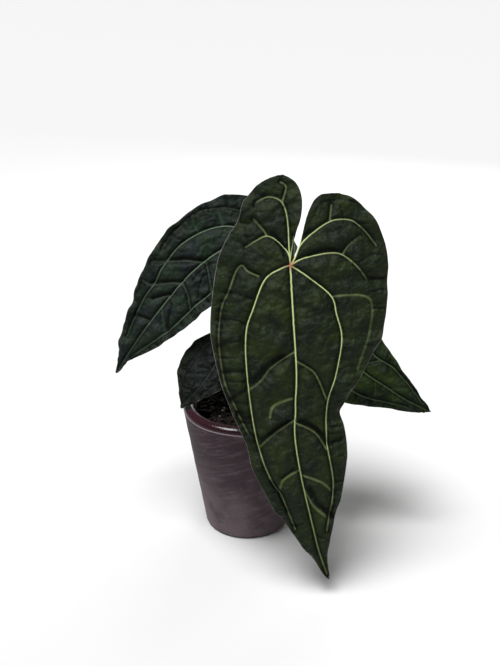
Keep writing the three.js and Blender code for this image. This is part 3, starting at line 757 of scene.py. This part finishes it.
def relief(leaf, veins, flat, edge, margin_way, seed):
    """How far the upper face stands off the flat blade, its way to a vein, and its painted shade."""
    quilt_height, vein_reach = leaf["quilt"]
    away = distance_to([line for _, line in veins], flat)
    near_vein = 1 - np.exp(-(away / vein_reach) ** 2)
    quilt = quilt_height * near_vein * (1 - edge**4)
    strong = distance_to([line for width, line in veins if width >= 0.8], flat)
    valley = 0.6 * quilt_height * np.exp(-((strong / 1.7) ** 2))
    crease = np.zeros(len(flat))
    dark = np.zeros(len(flat))
    for depth, width, points in leaf["creases"]:
        groove = np.exp(-((distance_to([smooth_vein(points)], flat) / width) ** 2))
        crease = np.maximum(crease, depth * groove)
        dark = np.maximum(dark, min(depth, 1) * groove**2)
    wave_height, wave_length = leaf["wave"]
    turn = 2 * math.pi * margin_way / wave_length
    wave = wave_height * edge**3 * (0.75 * np.sin(turn) + 0.45 * np.sin(1.7 * turn + 1))
    fold_place, fold_depth, fold_width = leaf["fold"]
    fold = fold_depth * edge**2 * (flat[:, 1] > 0)
    fold *= np.exp(-(((flat[:, 0] - fold_place) / fold_width) ** 2))
    lumps = 0.9 * quilt_height * noise_over(flat, 2.4 * vein_reach, 1) * near_vein
    lumps += 0.45 * quilt_height * noise_over(flat, 0.9 * vein_reach, 7) * near_vein
    grooves = 1.3 * margin_grooves(leaf, flat, edge, margin_way, seed)
    height = quilt - valley - crease + wave - fold + lumps - grooves - leaf["arch"] * flat[:, 1] ** 2
    # Painted shade, kept apart from the relief: a thin dark band beside each strong vein, a broad
    # faint one further out, and the creases and margin grooves darkened.
    beside = np.exp(-(((strong - 1.5) / 0.9) ** 2))
    sides = 0.35 * np.exp(-(((strong - 3.5) / 2.5) ** 2))
    return height, away, np.clip(0.75 * beside + sides + dark + 0.8 * grooves, 0, 1)


def make_blade(name):
    """The blade's skin over both halves, which share the midrib, with its copy underneath."""
    leaf = LEAVES[name]
    veins = [(width, smooth_vein(points)) for width, points in leaf["veins"]]
    cell = leaf["cell"]
    length = leaf["midrib"][-1][0]
    lobe = -min(half[0][0][0] for half in leaf["halves"])
    width = max(abs(x) for half in leaf["halves"] for _, x in half[1])
    lobe_rows, blade_rows = [round(reach / cell) for reach in (lobe, length)]
    columns = round(width / cell)
    rows = lobe_rows + blade_rows
    edge = np.linspace(0, 1, columns + 1)
    flats, edges, ways, quads = [], [], [], []
    for side, (sinus, margin) in enumerate(leaf["halves"]):
        notch, midrib = even_line(sinus, lobe_rows)[0], even_line(leaf["midrib"], blade_rows)[0]
        inner = np.vstack([notch[:-1], midrib])
        outer, margin_length = even_line(margin, rows)
        start = sum(len(part) for part in flats)
        grid = inner[:, None] * (1 - edge[:, None]) + outer[:, None] * edge[:, None]
        flats.append(grid.reshape(-1, 2))
        edges.append(np.tile(edge, rows + 1))
        ways.append(np.repeat(np.linspace(0, margin_length, rows + 1), columns + 1))
        first = start + (np.arange(rows)[:, None] * (columns + 1) + np.arange(columns)).reshape(-1)
        corners = np.stack([first, first + columns + 1, first + columns + 2, first + 1], axis=1)
        quads.append(corners if side else corners[:, ::-1])
    flat, edge, way = np.vstack(flats), np.concatenate(edges), np.concatenate(ways)
    _, kept, number = np.unique(flat.round(3), axis=0, return_index=True, return_inverse=True)
    flat, edge, way = flat[kept], edge[kept], way[kept]
    faces = [list(dict.fromkeys(quad)) for quad in number.reshape(-1)[np.vstack(quads)].tolist()]
    faces = [face for face in faces if len(face) > 2]

    raised, away, painted_groove_shade = relief(leaf, veins, flat, edge, way, len(faces))
    centre, across, facing = frame_along(leaf, flat[:, 0])
    upper = centre + across * flat[:, 1:] + facing * raised[:, None]
    skin = bpy.data.meshes.new("skin")
    skin.from_pydata(upper * MM, [], faces)
    skin.update()
    normals = np.array([vertex.normal for vertex in skin.vertices])
    near_midrib = distance_to([np.array(leaf["midrib"], float)], flat) / 3
    swell = RIB_HEIGHT * np.exp(-near_midrib**2) * (1 - np.maximum(flat[:, 0], 0) / length)
    swell += 0.5 * np.exp(-((away / 2.2) ** 2))
    thickness = BLADE_THICKNESS + swell - 0.35 * edge**6
    lower = upper - normals * thickness[:, None]
    bpy.data.meshes.remove(skin)

    count = len(upper)
    once = {}
    for face in faces:
        for start, end in zip(face, face[1:] + face[:1]):
            once[(start, end)] = (end, start) not in once and once.pop((end, start), True)
    rims = [(a, b) for (a, b) in once if (b, a) not in once]
    under = [[corner + count for corner in reversed(face)] for face in faces]
    walls = [[b, a, a + count, b + count] for a, b in rims]
    mesh = bpy.data.meshes.new("velvet_" + name)
    mesh.from_pydata(np.vstack([upper, lower]) * MM, [], faces + under + walls)
    piece = bpy.data.objects.new("velvet_" + name, mesh)
    bpy.context.collection.objects.link(piece)
    for attribute, values in (("vein_distance", away), ("edge", edge), ("painted_groove_shade", painted_groove_shade)):
        painted = mesh.attributes.new(attribute, "FLOAT", "POINT")
        painted.data.foreach_set("value", np.tile(values, 2))
    flat_map = mesh.uv_layers.new(name="flat_leaf")
    corners = np.array([loop.vertex_index for loop in mesh.loops]) % count
    flat_map.data.foreach_set("uv", (flat[corners] * MM).reshape(-1))
    mesh.shade_smooth()
    return piece, flat, upper, faces, veins


def velvet_material(name, cool, warm, thread_strength, rib):
    # Velvet leaf face: tiny domed cells trap the light, so the green is nearly black and has almost
    # no gloss. It warms to olive inside the panels, and a fine net of veinlets shows up close. The
    # cells are far under 0.1 mm, so their grain is drawn at 0.9 mm, where it can show.
    material, surface = new_material("velvet_leaf_face_" + name)
    flat = add_node(material, "UVMap", {"uv_map": "flat_leaf"}).outputs[0]
    distance = add_node(material, "Attribute", {"attribute_name": "vein_distance"}).outputs["Fac"]
    edge = add_node(material, "Attribute", {"attribute_name": "edge"}).outputs["Fac"]
    cloud_size = {"Vector": flat, "Scale": 1 / (26 * MM), "Detail": 4, "Roughness": 0.6}
    clouds = add_node(material, "TexNoise", inputs=cloud_size).outputs[0]
    grain_size = {"Vector": flat, "Scale": 1 / (0.9 * MM), "Detail": 3, "Roughness": 0.7}
    grain = add_node(material, "TexNoise", inputs=grain_size).outputs[0]
    warp_size = {"Vector": flat, "Scale": 1 / (6 * MM), "Detail": 2}
    warp = add_node(material, "TexNoise", inputs=warp_size).outputs["Color"]
    wandering = {0: 0.004, 4: flat, 5: warp}
    warped = add_node(material, "Mix", {"data_type": "VECTOR"}, wandering).outputs[1]
    net_size = {"Vector": warped, "Scale": 1 / (5 * MM)}
    to_edge = {"feature": "DISTANCE_TO_EDGE"}
    net = add_node(material, "TexVoronoi", to_edge, net_size).outputs["Distance"]
    threads = banded(material, net, 0.08, 0.015)
    green = blended(material, banded(material, clouds, 0.38, 0.66), cool, warm)
    # The grain varies the green at random, and its low spots, which the bump also sinks, are painted
    # darker as shade.
    grain_shade_green = blended(material, 0.3, green, "#10180c")
    green = blended(material, banded(material, grain, 0.3, 0.75), grain_shade_green, green)
    faint = {0: threads, 1: thread_strength}
    thread_share = add_node(material, "Math", {"operation": "MULTIPLY"}, faint).outputs[0]
    green = blended(material, thread_share, green, "#5b6a4c")
    vein_share = banded(material, distance, 1.6, 0.4)
    green = blended(material, vein_share, green, blended(material, 0.2, green, rib))
    margin_green = blended(material, 0.35, green, "#18220f")
    green = blended(material, banded(material, edge, 0.6, 0.9), green, margin_green)
    green = blended(material, banded(material, edge, 0.993, 0.999), green, "#8d8284")
    # Painted shade: the leaf is darkened in its grooves and creases and beside its strong veins.
    painted_groove_shade = add_node(material, "Attribute", {"attribute_name": "painted_groove_shade"}).outputs["Fac"]
    green = blended(material, banded(material, painted_groove_shade, 0.1, 1.0), green, "#070b05")
    plug(material, green, surface.inputs["Base Color"])
    pucker_size = {"Vector": flat, "Scale": 1 / (3.2 * MM), "Detail": 5, "Roughness": 0.65}
    puckers = add_node(material, "TexNoise", inputs=pucker_size).outputs[0]
    swell_size = {"Vector": flat, "Scale": 1 / (15 * MM), "Detail": 2, "Roughness": 0.5}
    swells = add_node(material, "TexNoise", inputs=swell_size).outputs[0]
    height = grain
    for pattern, share in ((threads, -0.5), (puckers, 1.8), (swells, 18.0)):
        added = {0: pattern, 1: share, 2: height}
        height = add_node(material, "Math", {"operation": "MULTIPLY_ADD"}, added).outputs[0]
    bump = {"Height": height, "Distance": 0.45 * MM, "Strength": 0.95}
    plug(material, add_node(material, "Bump", inputs=bump).outputs[0], surface.inputs["Normal"])
    surface.inputs["Roughness"].default_value = 0.42
    surface.inputs["Specular IOR Level"].default_value = 0.1
    surface.inputs["Sheen Weight"].default_value = 0.005
    surface.inputs["Sheen Roughness"].default_value = 0.35
    surface.inputs["Sheen Tint"].default_value = linear("#b4c0c4")
    return material


def underside_material():
    # Leaf underside: matte grey-green, paler over the ribs and along a fine raised net.
    material, surface = new_material("matte_leaf_underside")
    flat = add_node(material, "UVMap", {"uv_map": "flat_leaf"}).outputs[0]
    net_size = {"Vector": flat, "Scale": 1 / (3.5 * MM)}
    to_edge = {"feature": "DISTANCE_TO_EDGE"}
    net = add_node(material, "TexVoronoi", to_edge, net_size).outputs["Distance"]
    threads = banded(material, net, 0.12, 0.02)
    distance = add_node(material, "Attribute", {"attribute_name": "vein_distance"}).outputs["Fac"]
    green = blended(material, banded(material, distance, 3, 0.5), "#354528", "#66784c")
    thread_green = blended(material, 0.3, green, "#6c7c58")
    plug(material, blended(material, threads, green, thread_green), surface.inputs["Base Color"])
    bump = {"Height": threads, "Distance": 0.25 * MM, "Strength": 0.5}
    plug(material, add_node(material, "Bump", inputs=bump).outputs[0], surface.inputs["Normal"])
    surface.inputs["Roughness"].default_value = 0.6
    return material


def vein_material(name, pale_low, pale_high, dim):
    # Leaf vein: firm pale tissue with a dull waxy skin, blushed red where the petiole joins. It
    # sinks into the green towards its end, and the finest veins are hardly paler than the leaf.
    material, surface = new_material("pale_leaf_vein_" + name)
    place = add_node(material, "TexCoord").outputs["Object"]
    fleck_size = {"Vector": place, "Scale": 1 / (3 * MM), "Detail": 3}
    flecks = add_node(material, "TexNoise", inputs=fleck_size).outputs[0]
    pale = blended(material, flecks, pale_low, pale_high)
    fade = add_node(material, "Attribute", {"attribute_name": "fade"}).outputs["Fac"]
    pale = blended(material, fade, pale, dim)
    blush = add_node(material, "Attribute", {"attribute_name": "blush"}).outputs["Fac"]
    plug(material, blended(material, blush, pale, "#9a5646"), surface.inputs["Base Color"])
    surface.inputs["Roughness"].default_value = 0.5
    surface.inputs["Specular IOR Level"].default_value = 0.15
    return material


def make_veins(name, flat, upper, faces, veins):
    """Round tapering veins laid in the grooves, sunk to a little under half their radius."""
    flat_points = [(u, x, 0) for u, x in flat]
    lookup = BVHTree.FromPolygons(flat_points, faces)
    strands, knots = [], []
    for width, line in veins:
        radii = 0.43 * width * np.linspace(1, 0.28 if width > 1 else 0.2, len(line))
        points = []
        for (u, x), radius in zip(line, radii):
            spot, _, face, _ = lookup.find_nearest(Vector((u, x, 0)))
            corners = faces[face][:3]
            source = [Vector(flat_points[corner]) for corner in corners]
            target = [Vector(upper[corner]) for corner in corners]
            normal = (target[1] - target[0]).cross(target[2] - target[0]).normalized()
            points.append(barycentric_transform(spot, *source, *target) - normal * (0.45 * radius))
            share = len(points) / len(line)
            sunk = 0.85 * share**2.2 if width > 1 else 0.72 + 0.28 * share
            knots.append((points[-1], sunk))
        strands.append((points, radii))
    piece = round_strands("veins_" + name, strands, 3)
    finder = KDTree(len(knots))
    for number, (point, _) in enumerate(knots):
        finder.insert(point * MM, number)
    finder.balance()
    fade = [knots[finder.find(vertex.co)[1]][1] for vertex in piece.data.vertices]
    piece.data.attributes.new("fade", "FLOAT", "POINT").data.foreach_set("value", fade)
    return piece


underside, stalk_skin = underside_material(), stalk_material()
for name, leaf in LEAVES.items():
    blade, flat, upper, faces, veins = make_blade(name)
    dress(blade, velvet_material(name, *leaf["skin"], leaf["ribs"][0]))
    blade.data.materials.append(underside)
    rim_faces = len(blade.data.polygons) - 2 * len(faces)
    slots = [0] * len(faces) + [1] * len(faces) + [0] * rim_faces
    blade.data.polygons.foreach_set("material_index", slots)
    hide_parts("blade_" + name)
    [joint], _, [facing] = frame_along(leaf, np.array([0.0]))
    vein_piece = make_veins(name, flat, upper, faces, veins)
    add_blush(vein_piece, joint, 4 * MM)
    dress(vein_piece, vein_material(name, *leaf["ribs"]))
    petiole = make_petiole(name, joint, facing)
    dress(petiole, stalk_skin)
    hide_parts("petiole_" + name)


# The stage is a plain pale floor under soft studio light from above, with the camera at the
# photograph's place: a little above the plant and square to its front.
bpy.ops.mesh.primitive_plane_add(size=40)
floor = bpy.context.object
floor.name = "pale_floor"
floor_paint, floor_surface = new_material("pale_backdrop")
floor_surface.inputs["Base Color"].default_value = linear("#bebebe")
floor_surface.inputs["Roughness"].default_value = 0.9
floor.data.materials.append(floor_paint)

world = bpy.data.worlds.new("studio")
bpy.context.scene.world = world
world.use_nodes = True
backdrop = world.node_tree.nodes["Background"]
backdrop.inputs["Color"].default_value = linear("#ffffff")
# The backdrop is seen nearly white, but gives the plant only a weak fill.
seen = world.node_tree.nodes.new("ShaderNodeLightPath").outputs["Is Camera Ray"]
strength = world.node_tree.nodes.new("ShaderNodeMath")
strength.operation = "MULTIPLY_ADD"
world.node_tree.links.new(seen, strength.inputs[0])
strength.inputs[1].default_value = 0.75
strength.inputs[2].default_value = 0.2
world.node_tree.links.new(strength.outputs[0], backdrop.inputs["Strength"])

KEY_FROM = Vector((-0.24, -0.16, 1))
bpy.ops.object.light_add(type="SUN", rotation=KEY_FROM.to_track_quat("Z", "Y").to_euler())
key_light = bpy.context.object
key_light.name = "key_light"
key_light.data.energy = 5.3
key_light.data.angle = math.radians(34)

WINDOW_SPOT = Vector((0.5, 1.3, 0.9))
PLANT_MIDDLE = Vector((0, -0.02, 0.17))
bpy.ops.object.light_add(type="AREA", location=WINDOW_SPOT)
back_window = bpy.context.object
back_window.name = "back_window"
back_window.data.size = 0.9
back_window.data.energy = 9
back_window.rotation_euler = (PLANT_MIDDLE - WINDOW_SPOT).to_track_quat("-Z", "Y").to_euler()
bpy.context.scene.view_settings.view_transform = "Standard"

CAMERA_SPOT = (2.5 * MM, -755.3 * MM, 503.7 * MM)
CAMERA_DOWN = math.radians(22.26)
FOCAL_PIXELS = 900
IMAGE_HEIGHT = 666
bpy.ops.object.camera_add(location=CAMERA_SPOT, rotation=(math.pi / 2 - CAMERA_DOWN, 0, 0))
camera = bpy.context.object
camera.data.sensor_width = 36
camera.data.lens = FOCAL_PIXELS / IMAGE_HEIGHT * camera.data.sensor_width
bpy.context.scene.camera = camera

bpy.context.view_layer.update()
